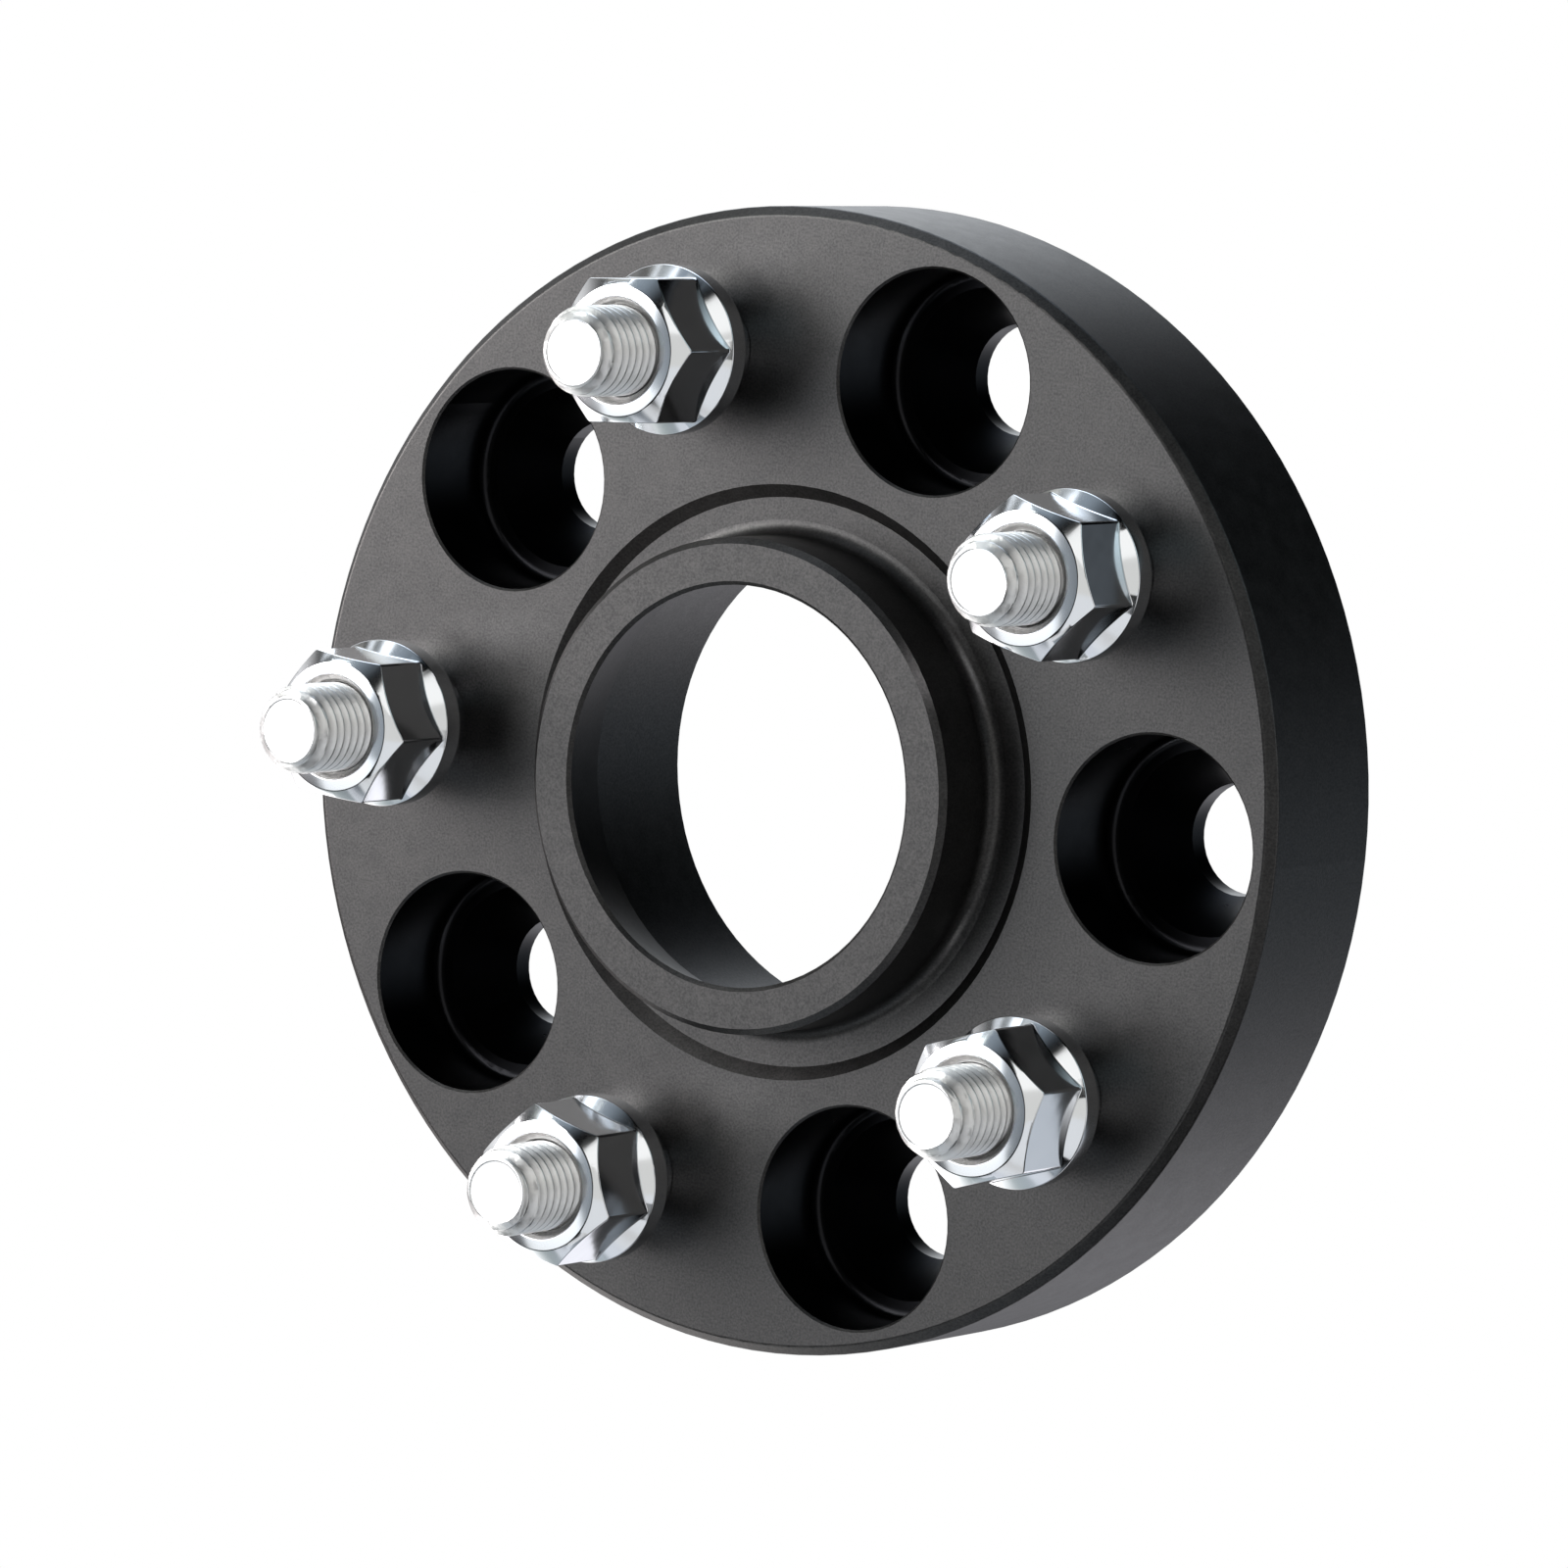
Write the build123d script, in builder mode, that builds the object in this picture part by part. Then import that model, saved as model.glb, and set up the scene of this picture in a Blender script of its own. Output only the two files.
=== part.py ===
from build123d import *
import os
from math import cos, radians, sin, tan

# Bolt-on wheel spacer: an anodised aluminium ring that bolts to the hub by the nuts sunk in its
# pockets, and carries the wheel on pressed-in studs of its own.
# Sizes are in millimetres. The origin is the centre of the face that lies on the hub, and +Z runs
# along the wheel axis, out through the studs.

# Bolt circle, shared by the hub's studs and the spacer's own
bolt_circle_diameter = 114.3
bolt_count = 5

# Ring
body_thickness = 25.0
wheel_face_chamfer = 1.2
wheel_face_round = 0.5
hub_face_chamfer = 1.5

# Centring lip on the wheel side, and the shallow groove turned round its foot
centring_diameter = 64.1
lip_height = 10.2
lip_chamfer = 0.8
lip_foot_round = 2.0
groove_floor_width = 4.9
groove_depth = 1.2
groove_wall_run = 1.7

# Bore: straight where it centres on the hub, then a shoulder and a taper through the lip
hub_bore_clearance = 0.05
hub_bore_chamfer = 1.3
shoulder_angle = 45.0
lip_wall_at_foot = 2.75
lip_wall_at_mouth = 6.1
taper_foot_drop = 1.0
taper_mouth_chamfer = 0.5

# Pockets that take the nuts on the hub's studs: a clear hole, a conical seat and a flat ledge
bolt_hole_diameter = 14.6
bolt_hole_chamfer = 0.5
bolt_hole_length = 3.4
seat_angle = 60.0
seat_depth = 8.2
pocket_ledge_width = 2.45
pocket_floor_round = 1.2
pocket_mouth_chamfer = 0.3
pocket_outer_wall = 2.87

# Studs, pressed in from the hub side until the head seats
stud_crest_diameter = 11.8
stud_reach = 30.0
stud_tip_chamfer = 1.8
thread_crest_height = 0.385
knurl_height = 0.5
knurl_length = 9.0
knurl_groove = 0.7
knurl_count = 28
knurl_gap = 0.01
head_overhang = 2.6
head_thickness = 3.5
head_chamfer = 0.6
head_sunk = 0.9
head_pocket_gap = 0.5

# Nuts, run down on the studs until the nose meets the wheel face
nut_sides = 6
nut_across_flats = 18.5
nut_height = 20.5
nut_nose_width = 0.6
nut_nose_clearance = 0.4
nut_rim_overhang = 0.32
nut_rim_height = 2.8
nut_flange_slope = 35.0
nut_crown_slope = 33.0
nut_boss_height = 0.75
nut_boss_inset = 0.2
nut_boss_draft = 0.15
nut_mouth_clearance = 0.75
thread_gap = 0.02
nut_turns = [47.6, 6.2, 56.8, 45.7, 19.9]

# Places on the bolt circle
bolt_step = 360 / bolt_count
hole_angles = [bolt_step * i for i in range(bolt_count)]
stud_angles = [bolt_step * (i + 0.5) for i in range(bolt_count)]


def pitch_point(angle):
    """Centre of the hole or stud at this angle, on the hub face."""
    reach = bolt_circle_diameter / 2
    return (reach * cos(radians(angle)), reach * sin(radians(angle)), 0)


def turning_plane(angle):
    """Upright plane through the hole or stud, with local x outwards and local y along +Z."""
    outward = (cos(radians(angle)), sin(radians(angle)), 0)
    across = (sin(radians(angle)), -cos(radians(angle)), 0)
    return Plane(origin=pitch_point(angle), x_dir=outward, z_dir=across)


def turning_axis(angle):
    """Axis of the hole or stud at this angle."""
    return Axis(pitch_point(angle), (0, 0, 1))


def turned_outline(corners):
    """Closed outline of a turned form, from corners given as radius, height and round."""
    points = [(radius, height) for radius, height, _ in corners]
    rounds = [corner_round for _, _, corner_round in corners]
    FilletPolyline(*points, radius=rounds, close=True)


# Studs and nuts share the thread, and the studs share the knurl with their holes
crest_radius = stud_crest_diameter / 2
thread_radius = crest_radius - thread_crest_height
knurl_radius = crest_radius + knurl_height
stud_hole_radius = knurl_radius + knurl_gap
head_radius = knurl_radius + head_overhang
head_seat = head_sunk + head_thickness
stud_tip = body_thickness + stud_reach
nut_top = body_thickness + nut_height

# The pocket's radii and heights, from the clear hole outwards
seat_slope = tan(radians(seat_angle / 2))
bolt_hole_radius = bolt_hole_diameter / 2
seat_radius = bolt_hole_radius + seat_depth * seat_slope
pocket_radius = seat_radius + pocket_ledge_width
pocket_floor = bolt_hole_length + seat_depth

with BuildPart() as spacer_body:
    # Ring, turned from one outline
    body_radius = bolt_circle_diameter / 2 + pocket_radius + pocket_outer_wall
    lip_radius = centring_diameter / 2
    lip_top = body_thickness + lip_height
    groove_floor = body_thickness - groove_depth
    groove_floor_radius = lip_radius + groove_floor_width
    hub_bore_radius = lip_radius + hub_bore_clearance
    taper_mouth_radius = lip_radius - lip_wall_at_mouth
    taper_foot_radius = lip_radius - lip_wall_at_foot
    taper_foot = body_thickness - taper_foot_drop
    shoulder_drop = (hub_bore_radius - taper_foot_radius) / tan(radians(shoulder_angle))
    ring_corners = [
        (hub_bore_radius + hub_bore_chamfer, 0, 0),
        (body_radius - hub_face_chamfer, 0, 0),
        (body_radius, hub_face_chamfer, 0),
        (body_radius, body_thickness - wheel_face_chamfer, wheel_face_round),
        (body_radius - wheel_face_chamfer, body_thickness, wheel_face_round),
        (groove_floor_radius + groove_wall_run, body_thickness, 0),
        (groove_floor_radius, groove_floor, 0),
        (lip_radius, groove_floor, lip_foot_round),
        (lip_radius, lip_top - lip_chamfer, 0),
        (lip_radius - lip_chamfer, lip_top, 0),
        (taper_mouth_radius + taper_mouth_chamfer, lip_top, 0),
        (taper_mouth_radius, lip_top - taper_mouth_chamfer, 0),
        (taper_foot_radius, taper_foot, 0),
        (hub_bore_radius, taper_foot - shoulder_drop, 0),
        (hub_bore_radius, hub_bore_chamfer, 0),
    ]
    with BuildSketch(Plane.XZ):
        with BuildLine():
            turned_outline(ring_corners)
        make_face()
    revolve(axis=Axis.Z)

    # Each pocket, its seat and its clear hole are one turned cut
    pocket_corners = [
        (0, 0, 0),
        (bolt_hole_radius + bolt_hole_chamfer, 0, 0),
        (bolt_hole_radius, bolt_hole_chamfer, 0),
        (bolt_hole_radius, bolt_hole_length, 0),
        (seat_radius, pocket_floor, 0),
        (pocket_radius, pocket_floor, pocket_floor_round),
        (pocket_radius, body_thickness - pocket_mouth_chamfer, 0),
        (pocket_radius + pocket_mouth_chamfer, body_thickness, 0),
        (0, body_thickness, 0),
    ]
    for angle in hole_angles:
        with BuildSketch(turning_plane(angle)):
            with BuildLine():
                turned_outline(pocket_corners)
            make_face()
        revolve(axis=turning_axis(angle), mode=Mode.SUBTRACT)

    # Stud holes, opened on the hub side so that the heads lie below the face
    for angle in stud_angles:
        with BuildSketch(Plane(origin=pitch_point(angle))):
            Circle(head_radius + head_pocket_gap)
        extrude(amount=head_seat, mode=Mode.SUBTRACT)
        with BuildSketch(Plane(origin=pitch_point(angle))):
            Circle(stud_hole_radius)
        extrude(amount=body_thickness, mode=Mode.SUBTRACT)

studs = []
for angle in stud_angles:
    with BuildPart() as stud:
        stud_foot = Plane(origin=pitch_point(angle))
        with BuildSketch(stud_foot.offset(head_sunk)):
            Circle(head_radius)
        extrude(amount=head_thickness)
        chamfer(stud.faces().sort_by(Axis.Z)[0].edges(), length=head_chamfer)

        # Straight knurl under the head, each groove a square set on its corner
        with BuildSketch(stud_foot.offset(head_seat)):
            Circle(knurl_radius)
            with PolarLocations(knurl_radius, knurl_count):
                Rectangle(knurl_groove, knurl_groove, rotation=45, mode=Mode.SUBTRACT)
        extrude(amount=knurl_length)

        # The thread is plain: at the pitch line inside the nut, where both threads share the
        # room, and at its full diameter on the free end
        with BuildSketch(stud_foot.offset(head_seat)):
            Circle(thread_radius)
        extrude(amount=nut_top - head_seat)
        with BuildSketch(stud_foot.offset(nut_top)):
            Circle(crest_radius)
        extrude(amount=stud_tip - nut_top)
        chamfer(stud.faces().sort_by(Axis.Z)[-1].edges(), length=stud_tip_chamfer)
    studs.append(stud)

# Radii and heights of a nut, from the nose up
flat_radius = nut_across_flats / 2
corner_radius = flat_radius / cos(radians(180 / nut_sides))
rim_radius = corner_radius + nut_rim_overhang
nose_radius = stud_hole_radius + nut_nose_width
boss_radius = flat_radius - nut_boss_inset
rim_foot = body_thickness + (rim_radius - nose_radius) / seat_slope
rim_top = rim_foot + nut_rim_height
flange_top = rim_top + rim_radius * tan(radians(nut_flange_slope))
crown_top = nut_top - nut_boss_height
crown_foot = crown_top - (rim_radius - boss_radius) * tan(radians(nut_crown_slope))
nut_bore_radius = thread_radius + thread_gap
nose_mouth_radius = crest_radius + nut_nose_clearance
nut_mouth_radius = crest_radius + nut_mouth_clearance
flange_corners = [
    (0, body_thickness, 0),
    (nose_radius, body_thickness, 0),
    (rim_radius, rim_foot, 0),
    (rim_radius, rim_top, 0),
    (0, flange_top, 0),
]
crown_corners = [
    (0, body_thickness, 0),
    (rim_radius, body_thickness, 0),
    (rim_radius, crown_foot, 0),
    (boss_radius, crown_top, 0),
    (boss_radius - nut_boss_draft, nut_top, 0),
    (0, nut_top, 0),
]
bore_corners = [
    (0, body_thickness, 0),
    (nose_mouth_radius, body_thickness, 0),
    (nut_bore_radius, body_thickness + nose_mouth_radius - nut_bore_radius, 0),
    (nut_bore_radius, nut_top - nut_mouth_radius + nut_bore_radius, 0),
    (nut_mouth_radius, nut_top, 0),
    (0, nut_top, 0),
]

nuts = []
for index, angle in enumerate(stud_angles):
    with BuildPart() as nut:
        # Conical seat, rim and sloping flange, turned
        with BuildSketch(turning_plane(angle)):
            with BuildLine():
                turned_outline(flange_corners)
            make_face()
        revolve(axis=turning_axis(angle))

        # Hexagon, which runs down into the slope of the flange
        hexagon_foot = Plane(origin=pitch_point(angle)).offset(rim_top)
        nut_turn = nut_turns[index % len(nut_turns)]
        with BuildSketch(hexagon_foot):
            RegularPolygon(flat_radius, nut_sides, major_radius=False, rotation=nut_turn)
        extrude(amount=nut_top - rim_top)

        # Crown and low round boss turned on the hexagon's top
        with BuildSketch(turning_plane(angle)):
            with BuildLine():
                turned_outline(crown_corners)
            make_face()
        revolve(axis=turning_axis(angle), mode=Mode.INTERSECT)

        # Threaded hole at the pitch line, opened at both ends
        with BuildSketch(turning_plane(angle)):
            with BuildLine():
                turned_outline(bore_corners)
            make_face()
        revolve(axis=turning_axis(angle), mode=Mode.SUBTRACT)
    nuts.append(nut)

# One file for each piece
os.makedirs("parts", exist_ok=True)
spacer_body.part.label = "spacer_body"
export_step(spacer_body.part, "parts/spacer_body.step")
for number, (stud, nut) in enumerate(zip(studs, nuts), start=1):
    stud.part.label = f"stud_{number}"
    export_step(stud.part, f"parts/stud_{number}.step")
    nut.part.label = f"nut_{number}"
    export_step(nut.part, f"parts/nut_{number}.step")
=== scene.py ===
import math

import bmesh
import bpy
from mathutils import Matrix, Vector


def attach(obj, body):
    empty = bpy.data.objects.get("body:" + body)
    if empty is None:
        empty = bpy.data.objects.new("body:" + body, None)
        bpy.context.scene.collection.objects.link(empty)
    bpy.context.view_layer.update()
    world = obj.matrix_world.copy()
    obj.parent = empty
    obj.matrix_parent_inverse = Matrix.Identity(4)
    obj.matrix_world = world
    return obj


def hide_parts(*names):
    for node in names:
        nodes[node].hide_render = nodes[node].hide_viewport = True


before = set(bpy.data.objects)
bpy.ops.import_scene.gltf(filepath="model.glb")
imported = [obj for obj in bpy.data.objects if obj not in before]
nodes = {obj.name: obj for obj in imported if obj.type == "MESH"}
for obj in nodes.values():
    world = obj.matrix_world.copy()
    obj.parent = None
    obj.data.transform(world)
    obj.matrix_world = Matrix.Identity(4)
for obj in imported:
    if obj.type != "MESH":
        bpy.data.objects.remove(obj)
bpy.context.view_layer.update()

# Ring: one aluminium forging, turned and bored, then bead-blasted fine and anodised black. The
# model's own solid already has its chamfers, groove, taper and stepped pockets, so it stays and
# only takes its finish here: a satin black with fine grain, smoother in the bored pockets, where
# its colour is darkened further as painted shade.
mm = 0.001
bolt_circle_radius, stud_count = 57.15 * mm, 5
degrees_apart = 360 / stud_count
pocket_radius, pocket_foot, pocket_mouth = 14.6 * mm, 0.7 * mm, 24.65 * mm
pocket_turn = math.radians(degrees_apart)
satin_dark, satin_light = (0.057, 0.056, 0.056, 1), (0.096, 0.093, 0.092, 1)
# Painted shade: the darker colour inside the bored pockets
pocket_painted_shade = (0.018, 0.018, 0.020, 1)
grain_scale, mottle_scale, blast_detail = 3200, 420, 3
grain_share, mottle_share, speckle_contrast = 0.75, 0.25, 3.2
blast_strength, blast_depth = 0.12, 0.05 * mm
satin_smooth, satin_rough, bored_smoother = 0.36, 0.48, 0.12


class Shade:
    """A value in a material's nodes. Arithmetic on it adds Math nodes."""

    def __init__(self, tree, socket=None):
        self.tree = tree
        self.socket = socket

    def node(self, kind, settings=None, inputs=None, output=0):
        """Adds a node, applies its settings, then fills its sockets, and gives one output."""
        made = self.tree.nodes.new(kind)
        for name, value in (settings or {}).items():
            setattr(made, name, value)
        for name, value in (inputs or {}).items():
            if isinstance(value, Shade):
                self.tree.links.new(value.socket, made.inputs[name])
            else:
                made.inputs[name].default_value = value
        return Shade(self.tree, made.outputs[output] if made.outputs else None)

    def math(self, operation, *values, clamp=False):
        """A Math node on these values."""
        settings = {"operation": operation, "use_clamp": clamp}
        return self.node("ShaderNodeMath", settings, dict(enumerate(values)))

    def __add__(self, other):
        return self.math("ADD", self, other)

    def __sub__(self, other):
        return self.math("SUBTRACT", self, other)

    def __rsub__(self, other):
        return self.math("SUBTRACT", other, self)

    def __mul__(self, other):
        return self.math("MULTIPLY", self, other)

    def __truediv__(self, other):
        return self.math("DIVIDE", self, other)

    def __rtruediv__(self, other):
        return self.math("DIVIDE", other, self)

    __radd__ = __add__
    __rmul__ = __mul__


def new_finish(name):
    """A new material with no nodes, and the Shade to build its nodes from."""
    finish = bpy.data.materials.new(name)
    finish.use_nodes = True
    finish.node_tree.nodes.clear()
    return finish, Shade(finish.node_tree)


def close_metal(shade, inputs):
    """Closes a material with a metallic Principled shader."""
    shader = shade.node("ShaderNodeBsdfPrincipled", {}, {"Metallic": 1.0, **inputs})
    shade.node("ShaderNodeOutputMaterial", {}, {"Surface": shader})


def object_place(shade):
    """The point that is shaded, in the object's own coordinates."""
    return shade.node("ShaderNodeTexCoord", {}, {}, "Object")


def split(shade, vector):
    """The x, y and z of a vector."""
    return [shade.node("ShaderNodeSeparateXYZ", {}, {"Vector": vector}, axis) for axis in "XYZ"]


def noise(shade, place, scale, detail, roughness=0.5):
    """Noise from 0 to 1 about 0.5, with features of about 1 / scale metres."""
    return shade.node("ShaderNodeTexNoise", {},
                      {"Vector": place, "Scale": scale, "Detail": detail, "Roughness": roughness})


def ranged(amount, low, high):
    """An amount from 0 to 1, stretched to run from low to high."""
    return low + (high - low) * amount


def blend_colour(shade, factor, first, second):
    """The first colour where the factor is 0, and the second where it is 1."""
    return shade.node("ShaderNodeMix", {"data_type": "RGBA"}, {0: factor, 6: first, 7: second}, 2)


def bumped(shade, height, strength, depth):
    """A normal that follows fine bumps of this depth."""
    return shade.node("ShaderNodeBump", {},
                      {"Strength": strength, "Distance": depth, "Height": height})


anodised, shade = new_finish("black_anodised")
place = object_place(shade)
grain = noise(shade, place, grain_scale, blast_detail)
mottle = noise(shade, place, mottle_scale, blast_detail)
speckle = speckle_contrast * (grain_share * grain + mottle_share * mottle - 0.5) + 0.5
satin = blend_colour(shade, speckle, satin_dark, satin_light)
# The pockets come round every fifth of a turn, so the turn is folded onto the first of them.
# Inside a pocket, measured out from its own axis, the finish is smoother, and its colour is
# darkened to a deeper black as painted shade.
x, y, z = split(shade, place)
turn = shade.math("FLOORED_MODULO", shade.math("ARCTAN2", y, x) + pocket_turn / 2, pocket_turn)
turn = turn - pocket_turn / 2
from_centre = shade.math("SQRT", x * x + y * y)
aside = from_centre * shade.math("SINE", turn)
along = from_centre * shade.math("COSINE", turn) - bolt_circle_radius
from_axis = shade.math("SQRT", aside * aside + along * along)
in_depth = shade.math("GREATER_THAN", z, pocket_foot) * shade.math("LESS_THAN", z, pocket_mouth)
bored_and_shaded = in_depth * shade.math("LESS_THAN", from_axis, pocket_radius)
close_metal(shade, {
    "Base Color": blend_colour(shade, bored_and_shaded, satin, pocket_painted_shade),
    "Roughness": ranged(mottle, satin_smooth, satin_rough) - bored_smoother * bored_and_shaded,
    "Normal": bumped(shade, grain, blast_strength, blast_depth),
})
nodes["spacer_body"].data.materials[0] = anodised

# Studs: cold-forged steel wheel studs, zinc-plated, pressed in from the hub side until the head
# seats. Under the head is a straight knurl that bites into the ring, then a short plain neck,
# then a rolled M12 x 1.5 thread that runs through the nut and narrows to a slightly dished tip.
stud_angles = [degrees_apart * (number + 0.5) for number in range(stud_count)]
stud_turn = 67
head_radius, head_foot, head_seat = 9.0 * mm, 0.9 * mm, 4.4 * mm
head_chamfer, head_round = 0.6 * mm, 0.12 * mm
knurl_radius, knurl_root, knurl_top = 6.4 * mm, 5.905 * mm, 13.4 * mm
knurl_lead, knurl_teeth = 0.55 * mm, 28
neck_radius, neck_top = 5.5 * mm, 17.0 * mm
crest_radius, pitch = 5.9 * mm, 1.5 * mm
thread_foot, stud_tip = 16.0 * mm, 55.0 * mm
lead_in, lead_in_steps, lead_in_share = 2.1 * mm, 10, 0.8
thread_root, thread_crest = 4.98 * mm, 5.88 * mm
# The thread's outline over one pitch, and the rounded lip of the tip: radius and height in mm
thread_outline = [
    (4.98, 0.0), (5.01, 0.12), (5.06, 0.18), (5.8, 0.61), (5.86, 0.67), (5.88, 0.75),
    (5.86, 0.83), (5.8, 0.89), (5.06, 1.32), (5.01, 1.38), (4.98, 1.5),
]
tip_lip = [(4.66, 54.7), (4.56, 54.88), (4.36, 54.98), (4.16, 55.0), (4.02, 54.96), (3.94, 54.88)]
stud_sides, thread_sides, thread_steps = 112, 96, 48
stud_smooth_angle = math.radians(40)
# How far a tool runs past what it cuts, how near two points are one, and how near a cut snaps
overrun, tolerance, bisect_reach = 1.0 * mm, 0.01 * mm, 0.0001 * mm
spare_turns = 2
# The root colour is a painted shade for the thread's roots; the crest colour is the steel's own
root_shade_steel, crest_steel = (0.58, 0.575, 0.57, 1), (0.97, 0.965, 0.96, 1)
steel_grain_scale, steel_detail = 1800, 3
dent_scale, dent_detail, dent_roughness = 700, 4, 0.6
dent_strength, dent_depth = 0.35, 0.2 * mm
rise_contrast, dent_share = 1.5, 0.6
steel_smooth, steel_rough = 0.3, 0.44


def pick(kind, wanted):
    """In edit mode, selects only the vertices, edges or faces that the test picks."""
    bpy.ops.mesh.select_mode(type=kind)
    bpy.ops.mesh.select_all(action="DESELECT")
    shape = bmesh.from_edit_mesh(bpy.context.object.data)
    for part in {"VERT": shape.verts, "EDGE": shape.edges, "FACE": shape.faces}[kind]:
        if wanted(part):
            part.select_set(True)
    shape.select_flush_mode()
    bmesh.update_edit_mesh(bpy.context.object.data)


def scale_across(share):
    """In edit mode, widens or narrows what is selected about the piece's axis."""
    bpy.ops.transform.resize(value=(share, share, 1), center_override=(0, 0, 0))


def face_outwards():
    """In edit mode, turns every face of a closed shell outwards, and goes back to object mode."""
    bpy.ops.mesh.select_all(action="SELECT")
    bpy.ops.mesh.normals_make_consistent(inside=False)
    bpy.ops.object.mode_set(mode="OBJECT")


def turned(sides, rings):
    """A closed turned form: a disc at the first ring, extruded and widened to each next one."""
    (radius, height), *others = rings
    bpy.ops.object.select_all(action="DESELECT")
    bpy.ops.mesh.primitive_circle_add(vertices=sides, radius=radius, fill_type="NGON",
                                      location=(0, 0, height))
    bpy.ops.object.transform_apply(location=True)
    bpy.ops.object.mode_set(mode="EDIT")
    for next_radius, next_height in others:
        rise = (0, 0, next_height - height)
        bpy.ops.mesh.extrude_region_move(TRANSFORM_OT_translate={"value": rise})
        scale_across(next_radius / radius)
        radius, height = next_radius, next_height
    face_outwards()
    return bpy.context.object


def select_only(piece):
    """Selects this piece alone and makes it the active one."""
    bpy.ops.object.select_all(action="DESELECT")
    piece.select_set(True)
    bpy.context.view_layer.objects.active = piece


def apply_modifier(piece, kind, **settings):
    """Adds a modifier with these settings and applies it."""
    change = piece.modifiers.new(kind.lower(), kind)
    for name, value in settings.items():
        setattr(change, name, value)
    bpy.context.view_layer.objects.active = piece
    bpy.ops.object.modifier_apply(modifier=change.name)


def combine(piece, tool, operation):
    """Joins, cuts or trims the piece with a tool, which is used up."""
    apply_modifier(piece, "BOOLEAN", operation=operation, solver="EXACT", object=tool)
    bpy.data.objects.remove(tool)


def set_on_circle(master, name, angle, turn):
    """A copy of the piece with its own mesh, turned and set at its place on the bolt circle."""
    select_only(master)
    bpy.ops.object.duplicate(linked=False)
    piece = bpy.context.object
    piece.name = name
    piece.rotation_euler = (0, 0, math.radians(turn))
    piece.location = (bolt_circle_radius * math.cos(math.radians(angle)),
                      bolt_circle_radius * math.sin(math.radians(angle)), 0)
    bpy.ops.object.transform_apply(location=True, rotation=True)
    return piece


stud = turned(stud_sides, [
    (head_radius - head_chamfer, head_foot), (head_radius, head_foot + head_chamfer),
    (head_radius, head_seat - head_round), (head_radius - head_round, head_seat),
    (neck_radius, head_seat), (neck_radius, neck_top),
])

# Straight knurl: every other corner of a many-sided collar drawn in to the root
knurl = turned(2 * knurl_teeth, [
    (knurl_radius, head_seat - head_round), (knurl_radius, knurl_top - knurl_lead),
    (knurl_radius - knurl_lead, knurl_top),
])
half_tooth = math.pi / knurl_teeth
bpy.ops.object.mode_set(mode="EDIT")
pick("VERT", lambda vert: abs(vert.co.xy.length - knurl_radius) < tolerance
     and round(math.atan2(vert.co.y, vert.co.x) / half_tooth) % 2 == 0)
scale_across(knurl_root / knurl_radius)
bpy.ops.object.mode_set(mode="OBJECT")
combine(stud, knurl, "UNION")

# Thread: the outline of one pitch, drawn point by point, then screwed up past both ends
bpy.ops.object.select_all(action="DESELECT")
bpy.ops.mesh.primitive_plane_add(size=mm)
thread = bpy.context.object
bpy.ops.object.mode_set(mode="EDIT")
bpy.ops.mesh.merge(type="CENTER")
radius, height = thread_outline[0]
bpy.ops.transform.translate(value=(radius * mm, 0, thread_foot - spare_turns * pitch))
for next_radius, next_height in thread_outline[1:]:
    step = ((next_radius - radius) * mm, 0, (next_height - height) * mm)
    bpy.ops.mesh.extrude_vertices_move(TRANSFORM_OT_translate={"value": step})
    radius, height = next_radius, next_height
bpy.ops.object.mode_set(mode="OBJECT")
turns = math.ceil((stud_tip - thread_foot) / pitch) + 2 * spare_turns
apply_modifier(thread, "SCREW", axis="Z", angle=2 * math.pi, screw_offset=pitch, iterations=turns,
               steps=thread_steps, render_steps=thread_steps, use_normal_calculate=False)
bpy.ops.object.mode_set(mode="EDIT")
bpy.ops.mesh.select_all(action="SELECT")
bpy.ops.mesh.remove_doubles(threshold=tolerance)
for height, keeps_above in ((thread_foot, True), (stud_tip + pitch, False)):
    bpy.ops.mesh.select_all(action="SELECT")
    bpy.ops.mesh.bisect(plane_co=(0, 0, height), plane_no=(0, 0, 1), use_fill=True,
                        clear_inner=keeps_above, clear_outer=not keeps_above,
                        threshold=bisect_reach)
# The thread narrows towards the tip, a little more at each step
step_share = lead_in_share ** (1 / lead_in_steps)
step_heights = [stud_tip - lead_in + lead_in * step / lead_in_steps
                for step in range(lead_in_steps)]
for step_height in step_heights:
    pick("VERT", lambda vert: vert.co.z > step_height)
    scale_across(step_share)
face_outwards()
envelope_radius = crest_radius + overrun
combine(thread, turned(thread_sides, [
    (envelope_radius, thread_foot - pitch), (envelope_radius, stud_tip - lead_in),
    *((radius * mm, height * mm) for radius, height in tip_lip),
]), "INTERSECT")
combine(stud, thread, "UNION")
select_only(stud)
bpy.ops.object.shade_smooth_by_angle(angle=stud_smooth_angle)

# How far out each point of the thread lies, from 0 at the root to 1 at the crest. It sets the
# painted shade towards the thread's roots.
lip_foot = tip_lip[0][1] * mm
rises = stud.data.attributes.new("thread_rise", "FLOAT", "POINT")
for vert, value in zip(stud.data.vertices, rises.data):
    steps = sum(vert.co.z > step_height for step_height in step_heights)
    above_root = vert.co.xy.length / step_share ** steps - thread_root
    rise = min(max(above_root / (thread_crest - thread_root), 0.0), 1.0)
    value.value = rise if thread_foot < vert.co.z < lip_foot - tolerance else 1.0
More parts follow.
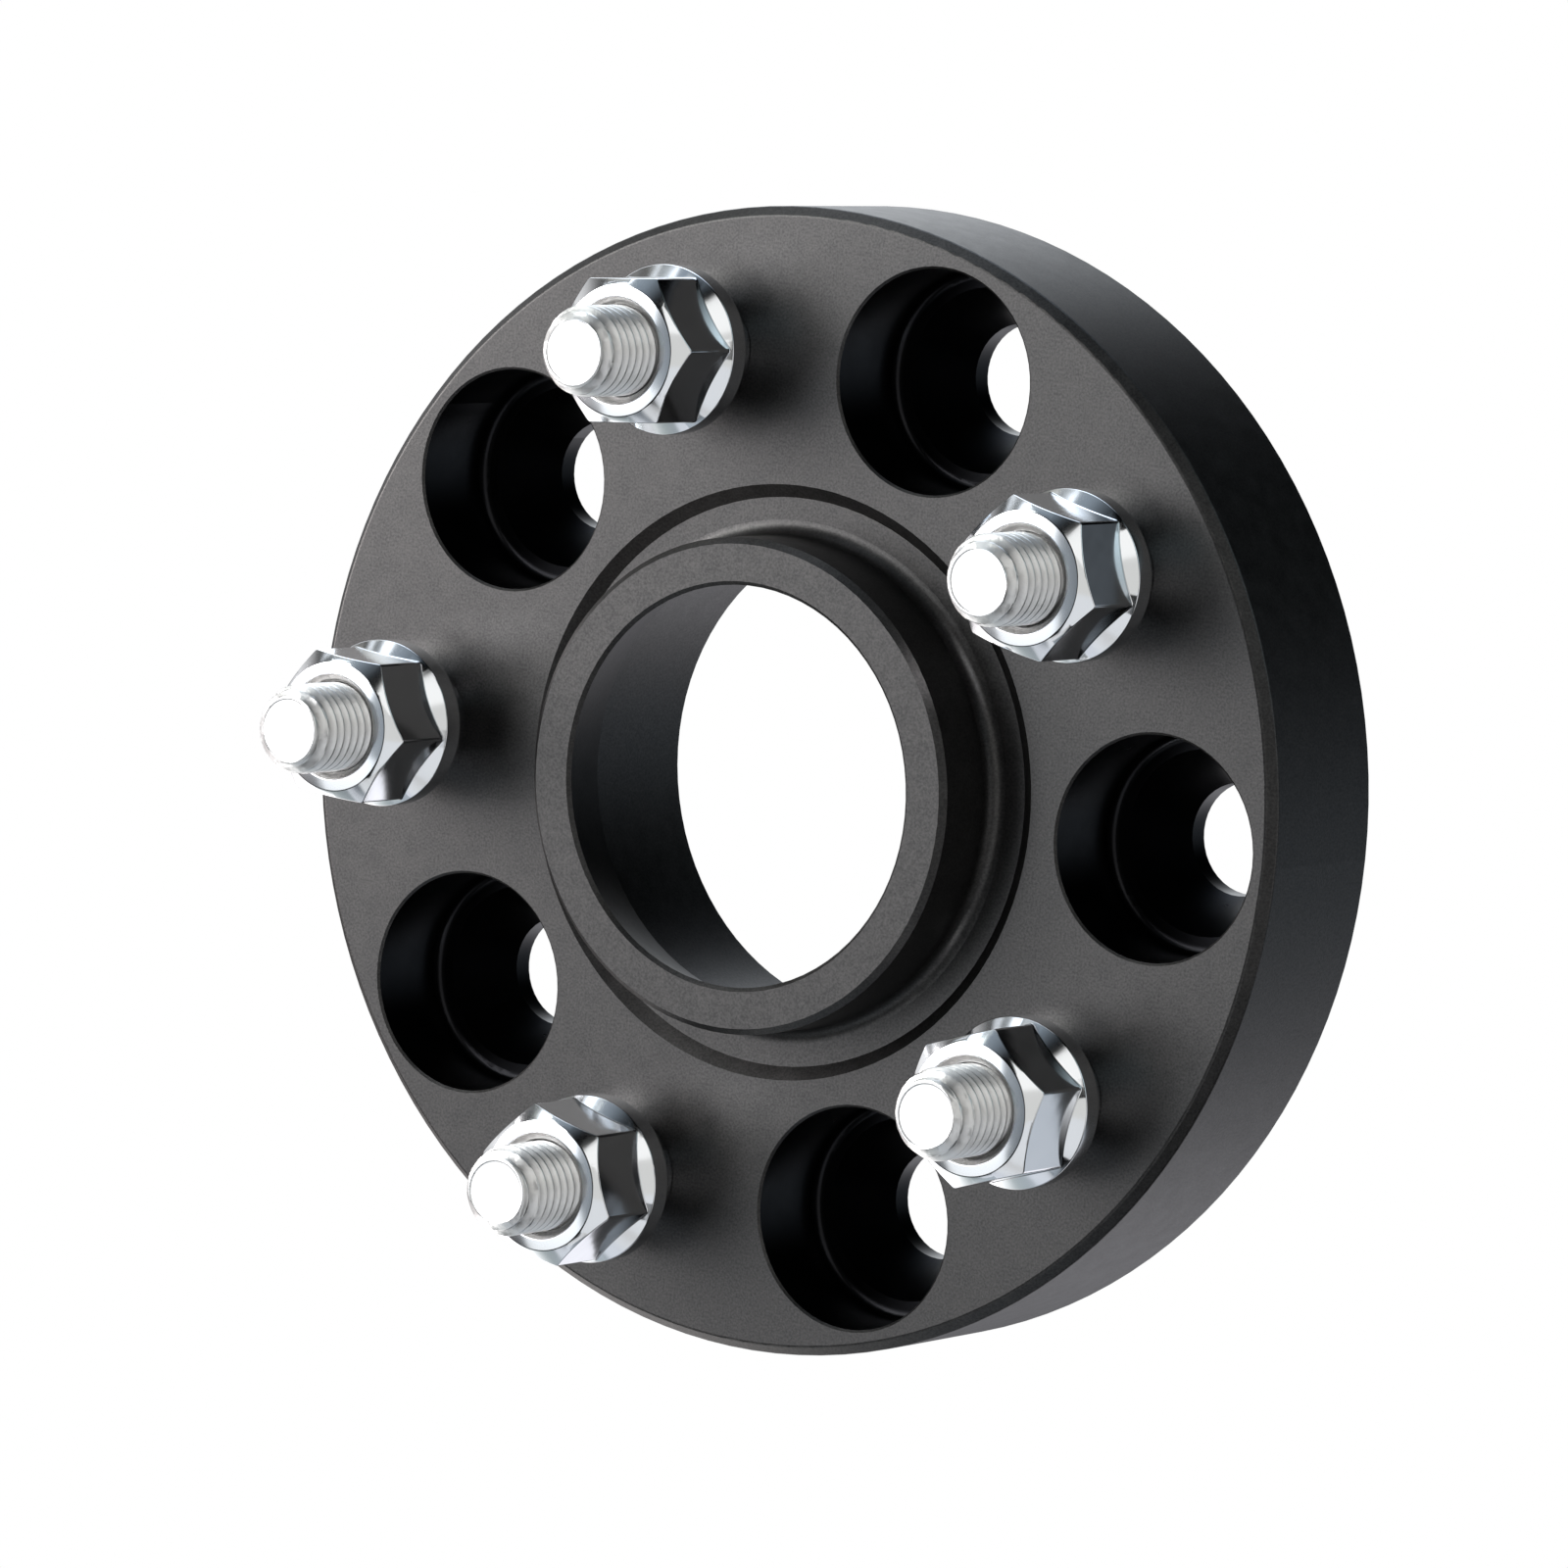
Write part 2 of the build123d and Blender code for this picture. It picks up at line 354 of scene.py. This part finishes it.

# The steel's colour is darkened towards the root of the thread as painted shade, and darker in
# small random dents; it is bright on the crests.
steel, shade = new_finish("stud_steel")
place = object_place(shade)
rise = shade.node("ShaderNodeAttribute", {"attribute_name": "thread_rise"}, {}, "Fac")
grain = noise(shade, place, steel_grain_scale, steel_detail)
dent = noise(shade, place, dent_scale, dent_detail, dent_roughness)
shade_and_dent_mix = shade.math("MULTIPLY_ADD", rise, rise_contrast, dent_share * (dent - 0.5), clamp=True)
close_metal(shade, {
    "Base Color": blend_colour(shade, shade_and_dent_mix, root_shade_steel, crest_steel),
    "Roughness": ranged(grain, steel_smooth, steel_rough),
    "Normal": bumped(shade, dent, dent_strength, dent_depth),
})
stud.data.materials.append(steel)
for number, angle in enumerate(stud_angles, start=1):
    piece = set_on_circle(stud, f"threaded_stud_{number}", angle, stud_turn * number)
    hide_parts(f"stud_{number}")
    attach(piece, "root")
bpy.data.objects.remove(stud)

# Nuts: open-ended flanged wheel nuts, cold-forged steel with bright plating. The conical seat and
# flange are one turned body, the hexagon runs down into the slope of the flange, and the crown is
# a shallow cone with chamfered corners. Each is run down until its nose meets the ring.
nut_foot, nut_top = 25.0 * mm, 45.5 * mm
nose_radius, rim_radius = 7.01 * mm, 11.0 * mm
rim_foot, rim_top = 31.91 * mm, 34.71 * mm
flange_rise, flange_inner = math.tan(math.radians(35)), 6.5 * mm
flat_radius, corner_round, corner_segments = 9.25 * mm, 0.3 * mm, 3
crown_radius, crown_fall = 8.45 * mm, math.tan(math.radians(11))
corner_reach, corner_fall = 12.0 * mm, math.tan(math.radians(34))
nut_bore, nose_mouth, nut_mouth = 5.95 * mm, 6.3 * mm, 7.0 * mm
# The turn of each nut in degrees, fitted to the corners of its hexagon in the photograph
nut_turns = [47.6, 6.2, 56.8, 45.7, 19.9]
nut_sides, edge_round, edge_segments = 120, 0.13 * mm, 2
sharp_angle, nut_smooth_angle = math.radians(18), math.radians(60)
bright_plating = (0.93, 0.945, 0.97, 1)
wave_scale, wave_detail, wave_strength, wave_depth = 260, 1, 0.15, 0.2 * mm
plating_smooth, plating_rough = 0.1, 0.15
# Painted shade: the darker colours of the bore and its countersinks
bore_shade_dark, bore_shade_light = (0.52, 0.515, 0.51, 1), (0.76, 0.755, 0.75, 1)
dull_smooth, dull_rough = 0.32, 0.44

nut = turned(nut_sides, [
    (nose_radius, nut_foot), (rim_radius, rim_foot), (rim_radius, rim_top),
    (flange_inner, rim_top + (rim_radius - flange_inner) * flange_rise),
])
half_side = math.pi / 6
hexagon_top = nut_top + overrun
bpy.ops.object.select_all(action="DESELECT")
bpy.ops.mesh.primitive_cylinder_add(
    vertices=6, radius=flat_radius / math.cos(half_side), depth=hexagon_top - rim_top,
    location=(0, 0, (hexagon_top + rim_top) / 2), rotation=(0, 0, half_side))
hexagon = bpy.context.object
bpy.ops.object.transform_apply(location=True, rotation=True)
bpy.ops.object.mode_set(mode="EDIT")
pick("EDGE", lambda edge: abs(edge.verts[0].co.z - edge.verts[1].co.z) > overrun)
bpy.ops.mesh.bevel(offset=corner_round, offset_type="OFFSET", segments=corner_segments,
                   affect="EDGES")
bpy.ops.object.mode_set(mode="OBJECT")
crown_edge = nut_top - (crown_radius - nut_mouth) * crown_fall
corner_edge = crown_edge - (corner_reach - crown_radius) * corner_fall
combine(hexagon, turned(nut_sides, [
    (corner_reach, rim_foot), (corner_reach, corner_edge),
    (crown_radius, crown_edge), (nut_mouth, nut_top),
]), "INTERSECT")
combine(nut, hexagon, "UNION")


def pick_disc(*heights):
    """In edit mode, selects the flat discs on the nut's axis at these heights."""
    pick("FACE", lambda face: face.calc_center_median().xy.length < tolerance and any(
        abs(face.calc_center_median().z - height) < tolerance for height in heights))


# Bore: the disc at each end is drawn in to a countersink, then the two discs are bridged
bpy.ops.object.mode_set(mode="EDIT")
pick_disc(nut_foot)
bpy.ops.mesh.inset(thickness=nose_radius - nose_mouth)
for end, mouth, inwards in ((nut_foot, nose_mouth, 1), (nut_top, nut_mouth, -1)):
    pick_disc(end)
    depth = inwards * (mouth - nut_bore)
    bpy.ops.mesh.extrude_region_move(TRANSFORM_OT_translate={"value": (0, 0, depth)})
    scale_across(nut_bore / mouth)
pick_disc(nut_foot + nose_mouth - nut_bore, nut_top - nut_mouth + nut_bore)
bpy.ops.mesh.bridge_edge_loops()
face_outwards()
apply_modifier(nut, "BEVEL", width=edge_round, segments=edge_segments, limit_method="ANGLE",
               angle_limit=sharp_angle, use_clamp_overlap=False)
select_only(nut)
bpy.ops.object.shade_smooth_by_angle(angle=nut_smooth_angle)
apply_modifier(nut, "WEIGHTED_NORMAL", mode="FACE_AREA", keep_sharp=True)

plating, shade = new_finish("nut_plating")
wave = noise(shade, object_place(shade), wave_scale, wave_detail)
close_metal(shade, {
    "Base Color": bright_plating,
    "Roughness": ranged(wave, plating_smooth, plating_rough),
    "Normal": bumped(shade, wave, wave_strength, wave_depth),
})
nut.data.materials.append(plating)

# On the walls of the bore and of its two countersinks the plating is rougher, and its colour is
# darker, a painted shade for these recesses.
dull_and_shaded_plating, shade = new_finish("bore_plating")
grain = noise(shade, object_place(shade), steel_grain_scale, steel_detail)
close_metal(shade, {
    "Base Color": blend_colour(shade, grain, bore_shade_dark, bore_shade_light),
    "Roughness": ranged(grain, dull_smooth, dull_rough),
})
nut.data.materials.append(dull_and_shaded_plating)
wall_radius, level = nut_mouth - edge_round / 2, 0.99
for face in nut.data.polygons:
    corners = [nut.data.vertices[corner].co for corner in face.vertices]
    inside = all(corner.xy.length < wall_radius for corner in corners)
    face.material_index = 1 if inside and abs(face.normal.z) < level else 0
for number, (angle, turn) in enumerate(zip(stud_angles, nut_turns), start=1):
    piece = set_on_circle(nut, f"flanged_nut_{number}", angle, turn)
    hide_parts(f"nut_{number}")
    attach(piece, "root")
bpy.data.objects.remove(nut)

# Floor: a wide white sheet of paper, lit so evenly that it shows no edge. It is left out of the
# reflections, which come from the softboxes. It lies a hair under the hub face and is clear from
# below, so that this face can be seen.
floor_side, floor_gap = 8.0, 0.3 * mm
white = (1, 1, 1, 1)
bpy.ops.object.select_all(action="DESELECT")
bpy.ops.mesh.primitive_plane_add(size=floor_side, location=(0, 0, -floor_gap))
floor = bpy.context.object
floor.name = "floor"
paper, shade = new_finish("white_paper")
glow = shade.node("ShaderNodeEmission", {}, {"Color": white, "Strength": 1.0})
clear = shade.node("ShaderNodeBsdfTransparent")
from_below = shade.node("ShaderNodeNewGeometry", {}, {}, "Backfacing")
sheet = shade.node("ShaderNodeMixShader", {}, {0: from_below, 1: glow, 2: clear})
shade.node("ShaderNodeOutputMaterial", {}, {"Surface": sheet})
floor.data.materials.append(paper)
floor.visible_glossy = False
floor.visible_diffuse = False
floor.visible_shadow = False

# Studio light: softboxes that the bright nuts mirror, soft lights far off on all sides, and two
# near lights at the left, which make the wheel face fade towards the lower right. The colour of
# a light is its strength in red, green and blue. A least squares fit to the photograph's shading
# chose most of the lights and their strengths, which were then changed in places and rounded.
softbox_edge, horizon = 0.03, 0.01
soft_light_spread = math.radians(34)
near_light_side = 0.24
# A softbox is given by its edges in x and y, as they are seen on a plane one unit above the part
softboxes = [
    ((-0.9, -0.35), (-0.28, 0.45), (1.31, 1.34, 1.36)),
    ((-0.9, -0.27), (-0.85, -0.28), (0.85, 0.87, 0.88)),
    ((-2.0, -0.8), (0.5, 1.5), (3.4, 3.6, 3.4)),
    ((-1.8, -1.1), (1.5, 2.2), (1.2, 1.25, 1.3)),
    ((-3.7, -2.7), (2.3, 3.2), (0.8, 0.85, 0.9)),
    ((0.3, 1.2), (0.4, 1.15), (0.98, 0.98, 0.96)),
    ((0.3, 1.2), (-0.25, 0.4), (0.66, 0.66, 0.64)),
    ((0.3, 1.2), (-1.25, -0.25), (0.72, 0.74, 0.76)),
    ((-0.1, 0.7), (-1.9, -1.25), (0.58, 0.58, 0.58)),
    ((-0.7, 0.2), (-2.8, -1.9), (0.4, 0.4, 0.42)),
]
# A soft light is given by its direction, from which it fades out evenly to all sides
soft_lights = [
    ((-1.0, 0.1, 0.0), (0.9, 0.9, 0.9)),
    ((-0.8, 0.05, 0.6), (1.15, 1.1, 1.1)),
    ((-0.45, -0.1, 0.9), (0.45, 0.5, 0.55)),
    ((-0.35, 0.85, 0.4), (0.25, 0.3, 0.35)),
    ((0.0, -1.0, 0.2), (0.4, 0.45, 0.5)),
    ((-0.5, 0.85, -0.1), (0.85, 0.85, 0.8)),
    ((-0.55, -0.85, 0.1), (0.4, 0.45, 0.45)),
    ((1.0, -0.1, 0.05), (1.0, 1.0, 1.0)),
    ((0.8, 0.55, -0.1), (0.75, 0.9, 0.95)),
    ((-0.7, -0.7, -0.2), (2.3, 2.2, 2.2)),
    ((-0.3, 0.9, -0.35), (1.8, 2.1, 2.5)),
    ((-0.6, 0.35, -0.7), (2.2, 2.3, 2.4)),
    ((-0.2, -0.6, -0.75), (0.7, 0.7, 0.75)),
    ((0.2, -0.65, -0.75), (0.95, 0.95, 1.0)),
    ((0.55, -0.2, -0.8), (0.35, 0.4, 0.45)),
]
# A near light is given by its place, and shines from there at the middle of the part
near_lights = [
    ((-0.43, 0.04, 0.22), (1.15, 1.1, 1.1)),
    ((-0.25, 0.19, 0.37), (0.6, 0.6, 0.6)),
]

world = bpy.data.worlds.new("studio")
bpy.context.scene.world = world
world.use_nodes = True
world.node_tree.nodes.clear()
shade = Shade(world.node_tree)
direction = shade.node("ShaderNodeTexCoord", {}, {}, "Generated")
x, y, z = split(shade, direction)
is_above = shade.math("GREATER_THAN", z, horizon)
height = shade.math("MAXIMUM", z, horizon)


def fade(shade, value, dark, bright):
    """0 up to the dark value, 1 from the bright one on, and smooth between them."""
    return shade.node("ShaderNodeMapRange", {"interpolation_type": "SMOOTHSTEP"},
                      {"Value": value, "From Min": dark, "From Max": bright})


def between(shade, value, edges):
    """1 between the two edges and 0 outside them."""
    low, high = edges
    return (fade(shade, value, low - softbox_edge, low + softbox_edge)
            * fade(shade, value, high + softbox_edge, high - softbox_edge))


lit = []
for x_edges, y_edges, colour in softboxes:
    in_box = between(shade, x / height, x_edges) * between(shade, y / height, y_edges)
    lit.append((colour, is_above * in_box))
for towards, colour in soft_lights:
    along = shade.node("ShaderNodeVectorMath", {"operation": "DOT_PRODUCT"},
                       {0: direction, 1: tuple(Vector(towards).normalized())}, "Value")
    lit.append((colour, fade(shade, shade.math("ARCCOSINE", along), soft_light_spread, 0.0)))
light = (0.0, 0.0, 0.0)
for colour, share in lit:
    light = shade.node("ShaderNodeVectorMath", {"operation": "MULTIPLY_ADD"},
                       {0: share, 1: colour, 2: light})
seen = shade.node("ShaderNodeLightPath", {}, {}, "Is Camera Ray")
background = shade.node("ShaderNodeBackground", {}, {
    "Color": blend_colour(shade, seen, light, white),
    "Strength": 1.0,
})
shade.node("ShaderNodeOutputWorld", {}, {"Surface": background})

for number, (spot, colour) in enumerate(near_lights, start=1):
    lamp = bpy.data.lights.new(f"near_light_{number}", "AREA")
    lamp.shape = "SQUARE"
    lamp.size = near_light_side
    lamp.energy = 1.0
    lamp.color = colour
    near_light = bpy.data.objects.new(f"near_light_{number}", lamp)
    bpy.context.scene.collection.objects.link(near_light)
    near_light.location = spot
    near_light.rotation_euler = Vector(spot).to_track_quat("Z", "Y").to_euler()

# Camera: a long lens above the right of the part, looking down on the wheel face. Its place, turn
# and lens come from a least squares fit to eleven circles traced in the photograph.
eye = Vector((0.64733, 0.14630, 1.00931))
aim = Vector((0.00087, -0.00004, 0.025))
picture_top = Vector((-0.146548, 0.987907, -0.050632))
camera_data = bpy.data.cameras.new("camera")
camera_data.lens = 210.657
camera_data.sensor_width = 36.0
camera_data.clip_start = 0.05
camera_data.clip_end = 50.0
camera = bpy.data.objects.new("camera", camera_data)
bpy.context.scene.collection.objects.link(camera)
back = (eye - aim).normalized()
across = picture_top.cross(back).normalized()
upward = back.cross(across)
camera_turn = Matrix((across, upward, back)).transposed().to_4x4()
camera.matrix_world = Matrix.Translation(eye) @ camera_turn
bpy.context.scene.camera = camera
bpy.context.scene.view_settings.view_transform = "Standard"
